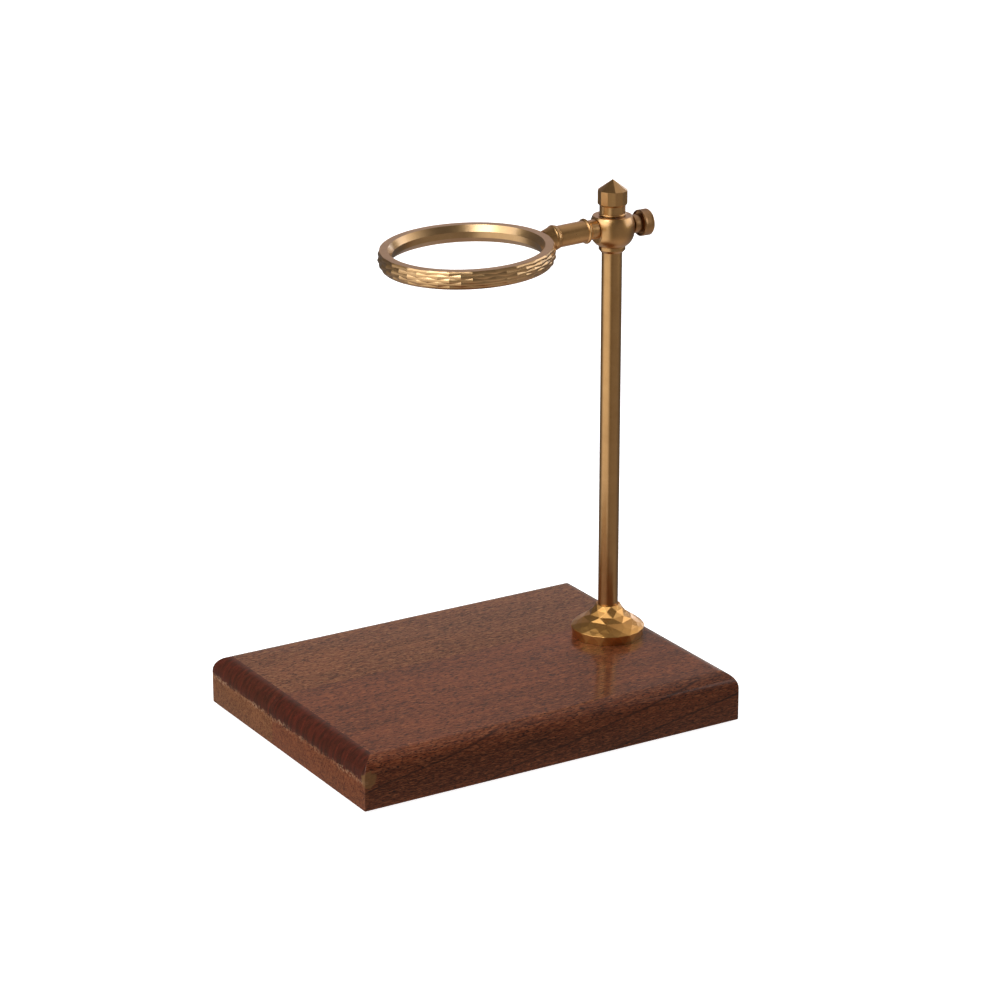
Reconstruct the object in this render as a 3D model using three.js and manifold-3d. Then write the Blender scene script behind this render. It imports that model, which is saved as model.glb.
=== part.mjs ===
// Adjustable ring stand of a shaving set: a wooden base of two glued staves, a brass
// post in a gem-cut foot, and a brass ring on an arm that slides and swivels on the
// post and is clamped by a knurled thumb screw.
// Millimetres, +Z up. The origin is on the table, under the middle of the base. The
// post stands on the +X side and the arm points along -X.
import * as THREE from 'three';
import { mergeVertices } from 'three/addons/utils/BufferGeometryUtils.js';
import Module from 'manifold-3d';

const wasm = await Module();
wasm.setup();

// Clearances
const SEAT_GAP = 0.3;
const RUN_GAP = 0.15;

// Smoothness
const HIDDEN_SIDES = 24;
const TURNED_SIDES = 32;
const RING_SIDES = 48;
const ARC_STEPS = 6;

// Base
const PAD = { radius: 6, height: 1.5, insetX: 17, insetY: 17 };
const BASE = { length: 210, width: 154.5, thickness: 25, roundover: 8.5 };
const GLUE = { y: 13.9, gap: 0.3 };
const DECK = PAD.height + BASE.thickness;

// Post, and the screw that holds it from below
const POST = { x: 78.3, radius: 5, chamfer: 0.4, web: 4 };
const SCREW = { radius: 3, headRadius: 5, headHeight: 5.5, intoPost: 12 };
const SCREW_SOCKET = { radius: 2.5, depth: 3 };
const WASHER = { radius: 7, thickness: 1.2 };
const COUNTERBORE = { radius: 8, depth: 8 };

// Foot flange: a gem cut of nine repeats. Levels are [radius, height]. The rim and the
// shoulder have two corners to a repeat, and the flare above them has one.
const FLANGE = {
  sides: 9,
  turn: 32.7,
  footRadius: 17.5,
  footHalfAngle: 13,
  rim: [18.5, 4.4],
  shoulder: [[17, 6.3], [15, 7.6]],
  flare: [[12.4, 9.2], [9.6, 11.4], [7.5, 13.9], [6.1, 16.3]],
};

// Hub: a ball with a fuller upper half, a flat top and a cut-off bottom
const HUB = { height: 209.9, radius: 10.9, top: 6.6, bottom: 8.25, spotface: 9.5 };
const HUB_UPPER = { halfHeight: 11.6, power: 2.3 };
const HUB_LOWER = { halfHeight: 9.8, power: 2.4 };
const HUB_STEPS = 12;
const BUSH = { radius: 6.1, collarRadius: 6.5, collarBottom: 11.6, chamfer: 1.4, slit: 1 };

// Finial: a twelve-sided prism and pyramid on a round neck
const FINIAL = {
  sides: 12,
  turn: 8,
  base: 6.9,
  footRadius: 6.7,
  footHeight: 0.5,
  neckRadius: 6.3,
  underCut: 0.5,
  prismRadius: 7.35,
  prismBottom: 11.6,
  pyramidBase: 19.1,
  apex: 24.4,
};

// Arm: its axis passes this far above the hub's middle and hangs this far below level
const ARM = { rise: 1.3, droop: 2.3, start: 9.8, joint: 31.6, radius: 5.3, chamfer: 0.4 };
const ARM_NECK = { radius: 4.85, end: 13.9 };
const ARM_BEAD = { radius: 6.2, middle: 15.7, halfWidth: 1 };
const SOCKET = { lipRadius: 5.75, tipRadius: 4.2 };
const SOCKET_BEAD = { radius: 6.15, middle: 33.6, halfWidth: 1.2 };

// Ring: a faceted barrel outside, and inside a taper, a waist and a lower chamfer
const RING = {
  reach: 81.8,
  outerRadius: 42.25,
  halfHeight: 4.42,
  seatRadius: 37.2,
  waistRadius: 35.3,
  lowerRadius: 38.3,
  waistTop: 1.4,
  waistBottom: -1.6,
};

// Facets of the barrel: five staggered rows, bottom to top, each of this many flats. A
// row's flats touch a circle of this radius at this height and lean by this many degrees.
const RING_CUT = {
  count: 24,
  turn: 2.9,
  rows: [
    { radius: 40.75, height: -3.5, lean: -38 },
    { radius: 41.8, height: -1.75, lean: -14 },
    { radius: 42.05, height: 0, lean: 0 },
    { radius: 41.8, height: 1.75, lean: 14 },
    { radius: 41.5, height: 3.5, lean: 22 },
  ],
};

// Threaded studs inside the brass
const STUD = { radius: 2.5, holeRadius: 2.8 };
const FINIAL_STUD = { below: 10, above: 6 };
const ARM_STUD = { from: 6.9, to: 16 };
const JOINT_STUD = { from: 26, to: 37 };
const RING_STUD = { radius: 1.5, holeRadius: 1.8, outside: 2.6, inside: 3 };

// Clamp screw: its axis passes this far above the hub's middle
const CLAMP = { rise: 0.5 };
const PAD_TIP = { radius: 2.4, length: 1.2 };
const CLAMP_STUD = { to: 17.5 };
const KNOB = {
  start: 10.9,
  neckRadius: 4.55,
  neckEnd: 13.6,
  waistRadius: 4.1,
  recess: 15.9,
  rimStart: 15.2,
  rimRadius: 6.5,
  end: 20.6,
  chamfer: 0.7,
};

const WOOD = { roughness: 0.45, metalness: 0 };
const BRASS = { color: 0xa9803f, roughness: 0.4, metalness: 1 };
const POLISHED = { color: 0xc39a4b, roughness: 0.25, metalness: 1 };
const STEEL = { color: 0x9a9a9c, roughness: 0.35, metalness: 1 };
const RUBBER = { color: 0x1c1c1d, roughness: 0.9, metalness: 0 };
const NYLON = { color: 0xe6e1d2, roughness: 0.6, metalness: 0 };

const radians = THREE.MathUtils.degToRad;

// Solids and boolean cuts ------------------------------------------------------------

function bare(geometry) {
  const copy = geometry.clone();
  copy.deleteAttribute('normal');
  copy.deleteAttribute('uv');
  return mergeVertices(copy, 1e-5);
}

function toSolid(geometry) {
  const merged = bare(geometry);
  return new wasm.Manifold(new wasm.Mesh({
    numProp: 3,
    vertProperties: new Float32Array(merged.attributes.position.array),
    triVerts: new Uint32Array(merged.index.array),
  }));
}

function toGeometry(solid) {
  const { vertProperties, triVerts } = solid.getMesh();
  const geometry = new THREE.BufferGeometry();
  geometry.setAttribute('position', new THREE.BufferAttribute(vertProperties, 3));
  geometry.setIndex(new THREE.BufferAttribute(triVerts, 1));
  return geometry;
}

function cut(geometry, ...tools) {
  const solid = tools.reduce((rest, tool) => rest.subtract(toSolid(tool)), toSolid(geometry));
  return toGeometry(solid);
}

function joinedSolid(first, second) {
  return toGeometry(toSolid(first).add(toSolid(second)));
}

function common(first, second) {
  return toGeometry(toSolid(first).intersect(toSolid(second)));
}

// Basic shapes -----------------------------------------------------------------------

// A body turned about Z from [radius, height] points, listed bottom to top outside. The
// profile runs on to the axis, or back down the bore where boreRadius is given.
function turned(outline, sides = TURNED_SIDES, boreRadius = 0) {
  const bottom = outline[0][1];
  const top = outline.at(-1)[1];
  const closed = [[boreRadius, bottom], ...outline, [boreRadius, top]];
  if (boreRadius > 0) {
    closed.push([boreRadius, bottom]);
  }
  return turnedLoop(closed, sides);
}

function turnedLoop(points, sides) {
  const profile = points.map(([radius, height]) => new THREE.Vector2(radius, height));
  return bare(new THREE.LatheGeometry(profile, sides)).rotateX(Math.PI / 2);
}

function rod(radius, from, to, sides = HIDDEN_SIDES) {
  return turned([[radius, from], [radius, to]], sides);
}

// Points of an arc about (centreRadius, centreHeight), angles in degrees from outward.
function arc(centreRadius, centreHeight, radius, fromAngle, toAngle, heightRadius = radius) {
  const points = [];
  for (let step = 0; step <= ARC_STEPS; step += 1) {
    const angle = radians(THREE.MathUtils.lerp(fromAngle, toAngle, step / ARC_STEPS));
    points.push([
      centreRadius + radius * Math.cos(angle),
      centreHeight + heightRadius * Math.sin(angle),
    ]);
  }
  return points;
}

function extruded(outline, length) {
  const shape = new THREE.Shape(outline.map(([x, y]) => new THREE.Vector2(x, y)));
  return new THREE.ExtrudeGeometry(shape, { depth: length, bevelEnabled: false });
}

// A faceted body from stacked closed loops of [x, y, z] points. Loops of equal count are
// joined by pairs of triangles, and both ends are closed flat.
function stacked(loops, joins) {
  const positions = [];
  const starts = [];
  for (const loop of loops) {
    starts.push(positions.length / 3);
    loop.forEach((point) => positions.push(...point));
  }
  const index = [];
  const count = (level) => loops[level].length;
  const at = (level, i) => starts[level] + ((i + count(level)) % count(level));
  joins.forEach((join, level) => index.push(...join(level, at, count(level + 1))));
  const last = loops.length - 1;
  for (let i = 1; i < count(0) - 1; i += 1) {
    index.push(at(0, 0), at(0, i + 1), at(0, i));
  }
  for (let i = 1; i < count(last) - 1; i += 1) {
    index.push(at(last, 0), at(last, i), at(last, i + 1));
  }
  const geometry = new THREE.BufferGeometry();
  geometry.setAttribute('position', new THREE.Float32BufferAttribute(positions, 3));
  geometry.setIndex(index);
  return geometry;
}

function polygon(sides, radius, height, firstAngle) {
  const points = [];
  for (let i = 0; i < sides; i += 1) {
    const angle = radians(firstAngle + (360 * i) / sides);
    points.push([radius * Math.cos(angle), radius * Math.sin(angle), height]);
  }
  return points;
}

// Meshes -----------------------------------------------------------------------------

function piece(name, geometry, look) {
  const mesh = new THREE.Mesh(geometry, new THREE.MeshStandardMaterial(look));
  mesh.name = name;
  return mesh;
}

function placed(object, x, y, z) {
  object.position.set(x, y, z);
  return object;
}

// Lays a body turned about Z along -X, so that its heights are distances from the post.
function alongArm(mesh) {
  mesh.rotation.y = -Math.PI / 2;
  return mesh;
}

function alongScrew(mesh) {
  mesh.rotation.y = Math.PI / 2;
  return mesh;
}

// Base -------------------------------------------------------------------------------

// The section across the base: both long edges are rounded over at the top.
function crossSection() {
  const halfWidth = BASE.width / 2;
  const centre = halfWidth - BASE.roundover;
  const shoulder = BASE.thickness - BASE.roundover;
  const right = arc(centre, shoulder, BASE.roundover, 0, 90);
  const left = arc(-centre, shoulder, BASE.roundover, 90, 180);
  return [[-halfWidth, 0], [halfWidth, 0], ...right, ...left];
}

// The section along the base, rounded over at both ends.
function longSection() {
  const halfLength = BASE.length / 2;
  const centre = halfLength - BASE.roundover;
  const shoulder = BASE.thickness - BASE.roundover;
  const right = arc(centre, shoulder, BASE.roundover, 0, 90);
  const left = arc(-centre, shoulder, BASE.roundover, 90, 180);
  return [[-halfLength, 0], [halfLength, 0], ...right, ...left];
}

// The whole board: the two sections meet in mitred rounded corners.
function boardGeometry() {
  const lengthwise = extruded(crossSection(), BASE.length);
  lengthwise.translate(0, 0, -BASE.length / 2).rotateX(Math.PI / 2).rotateZ(Math.PI / 2);
  const widthwise = extruded(longSection(), BASE.width);
  widthwise.translate(0, 0, -BASE.width / 2).rotateX(Math.PI / 2);
  return common(lengthwise, widthwise);
}

function staveBlock(fromY, toY) {
  const block = new THREE.BoxGeometry(BASE.length * 2, toY - fromY, BASE.thickness * 4);
  return block.translate(0, (fromY + toY) / 2, 0);
}

function baseStaves() {
  const board = boardGeometry();
  const reach = BASE.width;
  const front = cut(
    common(board, staveBlock(-reach, GLUE.y - GLUE.gap / 2)),
    rod(COUNTERBORE.radius, -1, COUNTERBORE.depth).translate(POST.x, 0, 0),
    rod(SCREW.radius + SEAT_GAP, 1, BASE.thickness + 1).translate(POST.x, 0, 0),
  );
  const back = common(board, staveBlock(GLUE.y + GLUE.gap / 2, reach));
  return [
    placed(piece('base_stave_front', front, { ...WOOD, color: 0x5b2f22 }), 0, 0, PAD.height),
    placed(piece('base_stave_back', back, { ...WOOD, color: 0x6e4128 }), 0, 0, PAD.height),
  ];
}

function footPads() {
  const sides = { left: -1, right: 1 };
  const depths = { front: -1, back: 1 };
  const pads = [];
  for (const [depth, signY] of Object.entries(depths)) {
    for (const [side, signX] of Object.entries(sides)) {
      const pad = piece(`foot_pad_${depth}_${side}`, rod(PAD.radius, 0, PAD.height), RUBBER);
      const x = signX * (BASE.length / 2 - PAD.insetX);
      const y = signY * (BASE.width / 2 - PAD.insetY);
      pads.push(placed(pad, x, y, 0));
    }
  }
  return pads;
}

function baseScrew() {
  const seat = PAD.height + COUNTERBORE.depth - WASHER.thickness;
  const end = DECK + POST.web + SCREW.intoPost;
  const outline = [
    [SCREW.headRadius, seat - SCREW.headHeight],
    [SCREW.headRadius, seat],
    [SCREW.radius, seat],
    [SCREW.radius, end],
  ];
  const underside = seat - SCREW.headHeight;
  const socket = rod(SCREW_SOCKET.radius, underside - 1, underside + SCREW_SOCKET.depth, 6);
  const screw = piece('base_screw', cut(turned(outline), socket), STEEL);
  const ring = [[WASHER.radius, seat], [WASHER.radius, seat + WASHER.thickness]];
  const washer = piece('base_washer', turned(ring, TURNED_SIDES, SCREW.radius + SEAT_GAP), STEEL);
  return [placed(screw, POST.x, 0, 0), placed(washer, POST.x, 0, 0)];
}

// Post -------------------------------------------------------------------------------

// Each foot facet is a trapezoid, wide at the top, with a triangle between neighbours.
function footBand(level, at) {
  const faces = [];
  for (let i = 0; i < 2 * FLANGE.sides; i += 2) {
    const left = at(level, i);
    const right = at(level, i + 1);
    const nextLeft = at(level, i + 2);
    const corner = at(level + 1, i);
    const middle = at(level + 1, i + 1);
    const nextCorner = at(level + 1, i + 2);
    faces.push(left, right, middle, left, middle, corner);
    faces.push(right, nextCorner, middle, right, nextLeft, nextCorner);
  }
  return faces;
}

// Triangles between two loops of the same count, the upper one half a step ahead.
function zigzag(level, at, count) {
  const faces = [];
  for (let i = 0; i < count; i += 1) {
    faces.push(at(level, i), at(level, i + 1), at(level + 1, i));
    faces.push(at(level, i + 1), at(level + 1, i + 1), at(level + 1, i));
  }
  return faces;
}

// Triangles from a loop to one of half its count, whose corners stand over every second
// corner of the lower loop.
function halving(level, at, count) {
  const faces = [];
  for (let i = 0; i < count; i += 1) {
    const middle = at(level, 2 * i + 2);
    faces.push(at(level, 2 * i + 1), middle, at(level + 1, i));
    faces.push(middle, at(level, 2 * i + 3), at(level + 1, i + 1));
    faces.push(middle, at(level + 1, i + 1), at(level + 1, i));
  }
  return faces;
}

function footFlange() {
  const step = 360 / FLANGE.sides;
  const half = step / 2;
  const foot = [];
  for (let i = 0; i < FLANGE.sides; i += 1) {
    const middle = FLANGE.turn + (i + 0.5) * step;
    for (const side of [-1, 1]) {
      const angle = radians(middle + side * FLANGE.footHalfAngle);
      foot.push([FLANGE.footRadius * Math.cos(angle), FLANGE.footRadius * Math.sin(angle), 0]);
    }
  }
  const lower = [FLANGE.rim, ...FLANGE.shoulder].map(([radius, height], i) => (
    polygon(2 * FLANGE.sides, radius, height, FLANGE.turn + (i * half) / 2)
  ));
  const upper = FLANGE.flare.map(([radius, height], i) => (
    polygon(FLANGE.sides, radius, height, FLANGE.turn + (i + 2) * half)
  ));
  const joins = [footBand, zigzag, zigzag, halving, zigzag, zigzag, zigzag];
  const flange = cut(
    stacked([foot, ...lower, ...upper], joins),
    rod(POST.radius + RUN_GAP, POST.web, 40),
    rod(SCREW.radius + SEAT_GAP, -1, POST.web + 1),
  );
  return placed(piece('foot_flange', flange, POLISHED), POST.x, 0, DECK);
}

function post() {
  const bottom = DECK + POST.web;
  const top = DECK + HUB.height + HUB.top;
  const body = turned([
    [POST.radius - POST.chamfer, bottom],
    [POST.radius, bottom + POST.chamfer],
    [POST.radius, top - POST.chamfer],
    [POST.radius - POST.chamfer, top],
  ]);
  const drilled = cut(
    body,
    rod(SCREW.radius + SEAT_GAP, bottom - 1, bottom + SCREW.intoPost + SEAT_GAP),
    rod(STUD.holeRadius, top - FINIAL_STUD.below - SEAT_GAP, top + 1),
  );
  return placed(piece('post', drilled, BRASS), POST.x, 0, 0);
}

// Finial -----------------------------------------------------------------------------

function finial() {
  const neck = turned([
    [FINIAL.footRadius, FINIAL.base],
    [FINIAL.footRadius, FINIAL.base + FINIAL.footHeight],
    [FINIAL.neckRadius, FINIAL.base + 2 * FINIAL.footHeight],
    [FINIAL.neckRadius, FINIAL.prismBottom + FINIAL.underCut],
  ]);
  const head = turnedLoop([
    [0, FINIAL.prismBottom],
    [FINIAL.neckRadius, FINIAL.prismBottom],
    [FINIAL.prismRadius, FINIAL.prismBottom + FINIAL.underCut],
    [FINIAL.prismRadius, FINIAL.pyramidBase],
    [0, FINIAL.apex],
  ], FINIAL.sides);
  const joined = joinedSolid(head.rotateZ(radians(FINIAL.turn)), neck);
  const hole = rod(STUD.holeRadius, FINIAL.base - 1, FINIAL.base + FINIAL_STUD.above + SEAT_GAP);
  const top = piece('finial', cut(joined, hole), BRASS);
  const pin = rod(STUD.radius, HUB.top - FINIAL_STUD.below, FINIAL.base + FINIAL_STUD.above);
  const stud = piece('finial_stud', pin, STEEL);
  const level = DECK + HUB.height;
  return [placed(top, POST.x, 0, level), placed(stud, POST.x, 0, level)];
}

// Hub --------------------------------------------------------------------------------

function hubBush() {
  const bottom = -BUSH.collarBottom;
  const collarTop = -HUB.bottom - RUN_GAP;
  const sleeve = turned([
    [POST.radius + 2 * RUN_GAP, bottom],
    [BUSH.collarRadius, bottom + BUSH.chamfer],
    [BUSH.collarRadius, collarTop],
    [BUSH.radius, collarTop],
    [BUSH.radius, HUB.top],
  ], TURNED_SIDES, POST.radius + RUN_GAP);
  const slit = new THREE.BoxGeometry(BUSH.collarRadius, BUSH.slit, 4 * HUB.radius);
  slit.translate(-BUSH.collarRadius / 2 - POST.radius / 2, 0, 0);
  const bush = piece('hub_bush', cut(sleeve, slit), BRASS);
  return placed(bush, POST.x, 0, DECK + HUB.height);
}

function ballRadius(height) {
  const { halfHeight, power } = height > 0 ? HUB_UPPER : HUB_LOWER;
  return HUB.radius * (1 - (Math.abs(height) / halfHeight) ** power) ** (1 / power);
}

function hubBall() {
  const outline = [];
  for (let step = 0; step <= HUB_STEPS; step += 1) {
    const height = THREE.MathUtils.lerp(-HUB.bottom, HUB.top, step / HUB_STEPS);
    outline.push([ballRadius(height), height]);
  }
  const ball = turned(outline, TURNED_SIDES, BUSH.radius + RUN_GAP);
  const spot = rod(2 * HUB.radius, HUB.spotface, 2 * HUB.radius);
  const studHole = rod(STUD.holeRadius, ARM_STUD.from - SEAT_GAP, 2 * HUB.radius);
  for (const tool of [spot, studHole]) {
    tool.rotateY(-Math.PI / 2 - radians(ARM.droop)).translate(0, 0, ARM.rise);
  }
  const screwHole = rod(STUD.holeRadius, 0, 2 * HUB.radius);
  screwHole.rotateY(Math.PI / 2).translate(0, 0, CLAMP.rise);
  const drilled = cut(ball, spot, studHole, screwHole);
  return placed(piece('hub_ball', drilled, BRASS), POST.x, 0, DECK + HUB.height);
}

// Arm and ring -----------------------------------------------------------------------

// The rounded bead that stands proud of a turned bar of the given radius.
function bead({ radius, middle, halfWidth }, barRadius) {
  return arc(barRadius, middle, radius - barRadius, -90, 90, halfWidth);
}

function armRod() {
  const outline = [
    [ARM_NECK.radius, ARM.start],
    [ARM_NECK.radius, ARM_NECK.end],
    ...bead(ARM_BEAD, ARM.radius),
    [ARM.radius, ARM.joint - ARM.chamfer],
    [ARM.radius - ARM.chamfer, ARM.joint],
  ];
  return cut(
    turned(outline),
    rod(STUD.holeRadius, 0, ARM_STUD.to + SEAT_GAP),
    rod(STUD.holeRadius, JOINT_STUD.from - SEAT_GAP, ARM.joint + 1),
  );
}

// The socket's bead and the cone that narrows to the ring. Its end is cut to the ring.
function ringSocket() {
  const start = ARM.joint + SEAT_GAP;
  const wall = RING.reach - RING.outerRadius;
  const end = wall + 2;
  const outline = [
    [SOCKET.lipRadius - ARM.chamfer, start],
    ...bead(SOCKET_BEAD, SOCKET.lipRadius),
    [SOCKET.tipRadius, wall],
    [SOCKET.tipRadius, end],
  ];
  const ringSpace = rod(RING.outerRadius + SEAT_GAP, -20, 20, 2 * RING_SIDES);
  ringSpace.rotateY(Math.PI / 2).translate(0, 0, RING.reach);
  return cut(
    turned(outline),
    ringSpace,
    rod(STUD.holeRadius, start - 1, JOINT_STUD.to + SEAT_GAP),
    rod(RING_STUD.holeRadius, JOINT_STUD.to, end),
  );
}

// A flat-sided cone whose faces are one row of the barrel's facets.
function facetCone({ radius, height, lean }, turn) {
  const slope = Math.tan(radians(lean));
  const toCorner = 1 / Math.cos(Math.PI / RING_CUT.count);
  const radiusAt = (level) => toCorner * (radius - slope * (level - height));
  const cone = turned([
    [radiusAt(-RING.halfHeight), -RING.halfHeight],
    [radiusAt(RING.halfHeight), RING.halfHeight],
  ], RING_CUT.count);
  return cone.rotateZ(radians(turn));
}

function supportRing() {
  const step = 360 / RING_CUT.count;
  const cones = RING_CUT.rows.map((row, i) => (
    facetCone(row, RING_CUT.turn + ((i + 1) % 2) * (step / 2))
  ));
  const barrel = cones.reduce(common);
  const high = RING.halfHeight;
  const bore = turned([
    [RING.lowerRadius + 1, -high - 1],
    [RING.lowerRadius, -high],
    [RING.waistRadius, RING.waistBottom],
    [RING.waistRadius, RING.waistTop],
    [RING.seatRadius, high],
    [RING.seatRadius, high + 1],
  ], 2 * RING_SIDES);
  const holeEnd = RING.outerRadius - RING_STUD.inside - SEAT_GAP;
  const hole = rod(RING_STUD.holeRadius, holeEnd, RING.outerRadius + 1).rotateY(Math.PI / 2);
  return cut(barrel, bore, hole);
}

function arm() {
  const wall = RING.reach - RING.outerRadius;
  const group = new THREE.Group();
  group.add(
    alongArm(piece('arm_stud', rod(STUD.radius, ARM_STUD.from, ARM_STUD.to), STEEL)),
    alongArm(piece('arm_rod', armRod(), BRASS)),
    alongArm(piece('joint_stud', rod(STUD.radius, JOINT_STUD.from, JOINT_STUD.to), STEEL)),
    alongArm(piece('ring_socket', ringSocket(), BRASS)),
    alongArm(piece('ring_stud', rod(RING_STUD.radius, wall - RING_STUD.outside + SEAT_GAP,
      wall + RING_STUD.inside), STEEL)),
    placed(piece('support_ring', supportRing(), BRASS), -RING.reach, 0, 0),
  );
  group.rotation.y = -radians(ARM.droop);
  return placed(group, POST.x, 0, DECK + HUB.height + ARM.rise);
}

// Clamp screw ------------------------------------------------------------------------

function knobHead() {
  const outline = [
    [KNOB.neckRadius, KNOB.start],
    [KNOB.neckRadius, KNOB.neckEnd],
    [KNOB.waistRadius, KNOB.recess],
    [KNOB.rimRadius - KNOB.chamfer, KNOB.recess],
    [KNOB.rimRadius - KNOB.chamfer, KNOB.rimStart],
    [KNOB.rimRadius, KNOB.rimStart + KNOB.chamfer],
    [KNOB.rimRadius, KNOB.end - KNOB.chamfer],
    [KNOB.rimRadius - KNOB.chamfer, KNOB.end],
  ];
  const hole = rod(STUD.holeRadius, 0, CLAMP_STUD.to + SEAT_GAP);
  return cut(turned(outline), hole);
}

function clamp() {
  const tip = BUSH.radius + SEAT_GAP;
  const tipEnd = tip + PAD_TIP.length;
  const group = new THREE.Group();
  group.add(
    alongScrew(piece('thrust_pad', rod(PAD_TIP.radius, tip, tipEnd), NYLON)),
    alongScrew(piece('clamp_stud', rod(STUD.radius, tipEnd + SEAT_GAP, CLAMP_STUD.to), STEEL)),
    alongScrew(piece('knob_head', knobHead(), BRASS)),
  );
  return placed(group, POST.x, 0, DECK + HUB.height + CLAMP.rise);
}

const stand = new THREE.Group();
stand.add(
  ...baseStaves(),
  ...footPads(),
  ...baseScrew(),
  footFlange(),
  post(),
  ...finial(),
  hubBush(),
  hubBall(),
  arm(),
  clamp(),
);

export default stand;
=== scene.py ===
"""Looks of an adjustable ring stand: a wooden base, a brass post and a ring on an arm."""

import math

import bmesh
import bpy
from mathutils import Matrix, Vector


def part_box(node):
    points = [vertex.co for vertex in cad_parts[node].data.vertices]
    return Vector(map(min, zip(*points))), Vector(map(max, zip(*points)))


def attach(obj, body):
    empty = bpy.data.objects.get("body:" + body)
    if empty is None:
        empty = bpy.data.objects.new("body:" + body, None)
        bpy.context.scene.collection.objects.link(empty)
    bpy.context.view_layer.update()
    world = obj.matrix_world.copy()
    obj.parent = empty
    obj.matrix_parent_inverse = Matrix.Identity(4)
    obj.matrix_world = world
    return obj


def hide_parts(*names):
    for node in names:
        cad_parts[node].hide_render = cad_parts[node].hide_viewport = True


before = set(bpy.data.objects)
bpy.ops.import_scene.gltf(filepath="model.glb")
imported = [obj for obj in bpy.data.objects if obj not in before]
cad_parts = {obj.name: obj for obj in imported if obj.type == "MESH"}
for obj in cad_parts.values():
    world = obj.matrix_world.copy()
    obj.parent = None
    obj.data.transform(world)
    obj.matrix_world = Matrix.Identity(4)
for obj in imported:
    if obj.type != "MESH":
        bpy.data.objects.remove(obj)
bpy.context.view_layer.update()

# Shapes are built in millimetres and scaled to metres when a piece is made.
MM = 0.001
GAP = 0.3

# Cutting tools end OVERCUT outside a shape or FAR out; joined shapes overlap by OVERCUT.
OVERCUT = 1
FAR = 60

# Smoothness
FINE = 128
MEDIUM = 64
ARC_STEPS = 10
BALL_STEPS = 40
ROUNDOVER_STEPS = 12
CORNER_STEPS = 6
EDGE_STEPS = 4

# Rounded edges: two radii, the share of a side that a rounding may take, and the turn in
# degrees below which a corner stays as it is
EDGE = 0.3
FINE_EDGE = 0.25
EDGE_SHARE = 0.45
BLUNT = 20

# Bevel between facets, degrees between faces that count as one, distance of merged points
FACET_BEVEL = 0.12
FLAT = 0.5
MERGE = 1e-4

# Places, from the CAD parts in model.glb
POST_LOW, POST_HIGH = (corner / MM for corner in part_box("post"))
POST_X = (POST_LOW.x + POST_HIGH.x) / 2
BASE_LOW, _ = (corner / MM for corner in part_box("base_stave_front"))
_, BASE_HIGH = (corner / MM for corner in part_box("base_stave_back"))
DECK = BASE_HIGH.z
HUB_RISE = 209.9
HUB_Z = DECK + HUB_RISE

# Base. The curve of the lower edge is (inset, height) in shares of LOWER_EDGE.
ROUNDOVER = 8.5
PLAN_CORNER = 0.5
GLUE_CORNER = 0.15
LOWER_EDGE = 0.6
LOWER_EDGE_CURVE = ((1, 0), (0.2, 0.3), (0, 1))
GLUE_Y = 13.9
GLUE_GAP = 0.04
PAD = {"radius": 6, "height": 1.5, "edge": 0.4}
COUNTERBORE = {"radius": 8, "depth": 8}
SCREW = {"radius": 3, "end": 42.5, "head": 5, "head_height": 5.5, "socket": 2.5,
         "socket_depth": 3}
WASHER = {"radius": 7, "thickness": 1.2, "edge": 0.2}

# Foot flange: a gem cut of nine repeats, levels above its foot as (radius, height)
FLANGE_SIDES = 9
FLANGE_TURN = 32.7
FLANGE_FOOT = {"radius": 17.9, "half_angle": 13}
FLANGE_LOWER = ((18.5, 4.7), (16.6, 6.3), (14.7, 7.7))
FLANGE_FLARE = ((12.4, 9.2), (9.6, 11.4), (7.5, 13.9), (6.1, 16.3))
FLANGE_WEB = 4

# Post and hub. The two ends of the ball are superellipses of (half height, power).
POST_RADIUS = 5
POST_HOLES = {"screw": 12.3, "stud": 10.3}
RUN_GAP = 0.15
STUD_HOLE = 2.8
BUSH = {"radius": 6.1, "collar": 6.5, "bottom": -11.6, "chamfer": 1.4, "slit": 1}
BALL = {"radius": 10.9, "top": 6.6, "bottom": -8.25, "spotface": 9.5, "stud_hole": 6.6}
BALL_UPPER = (11.6, 2.3)
BALL_LOWER = (9.8, 2.4)

# Finial, heights above the hub's middle. A cone takes the prism's lower corners off.
FINIAL_SIDES = 12
FINIAL_TURN = 8
FINIAL = {"base": 6.9, "foot": 6.7, "foot_half": 0.5, "neck": 6.3, "bottom": 11.6, "prism": 7.35,
          "cone": 3, "pyramid": 19.1, "top": 24.358, "tip": 0.06, "stud_hole": 6.3}

# Arm, distances from the post's axis
ARM_RISE = 1.3
ARM_DROOP = 2.3
ARM = {"start": 9.8, "neck": 4.85, "neck_end": 13.9, "bar": 5.3, "joint": 31.6}
ARM_HOLES = {"near_end": 16.3, "far_start": 25.7}
ARM_BEAD = {"radius": 6.2, "middle": 15.7, "half": 0.8}
SOCKET = {"lip": 5.75, "tip": 4.2, "overrun": 2, "hole_end": 37.3}
SOCKET_BEAD = {"radius": 6.15, "middle": 33.6, "half": 0.9}

# Ring. The bore is (radius, height), the edges of the rim's rows are (height, radius).
RING_REACH = 81.8
RING_RADIUS = 42.25
RING_HALF = 4.42
RING_BORE = ((38.3, -4.42), (35.3, -1.6), (35.3, 1.4), (37.2, 4.42))
RING_TURN = 2.9
RING_BARREL = ((-4.42, 40.05), (-2.65, 41.1), (-0.9, 41.6), (0.9, 41.6), (2.65, 41.35),
               (4.42, 40.95))
RING_EDGES = {"top": 41.2, "bottom": 40.3, "bottom_slope": 1.2}
RING_STUD = {"hole": 1.8, "depth": 3.3}

# Cells of the rim: how many in a row, columns and steps each is made of, rise of its arch
# over half its height, and growth of the arch towards the cell's ends
CELL = {"count": 24, "columns": 12, "steps": 6, "rise": 0.26, "half": 0.885, "hollow": 1.15}
RING_BOW = CELL["rise"] / CELL["half"] ** 2

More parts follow.
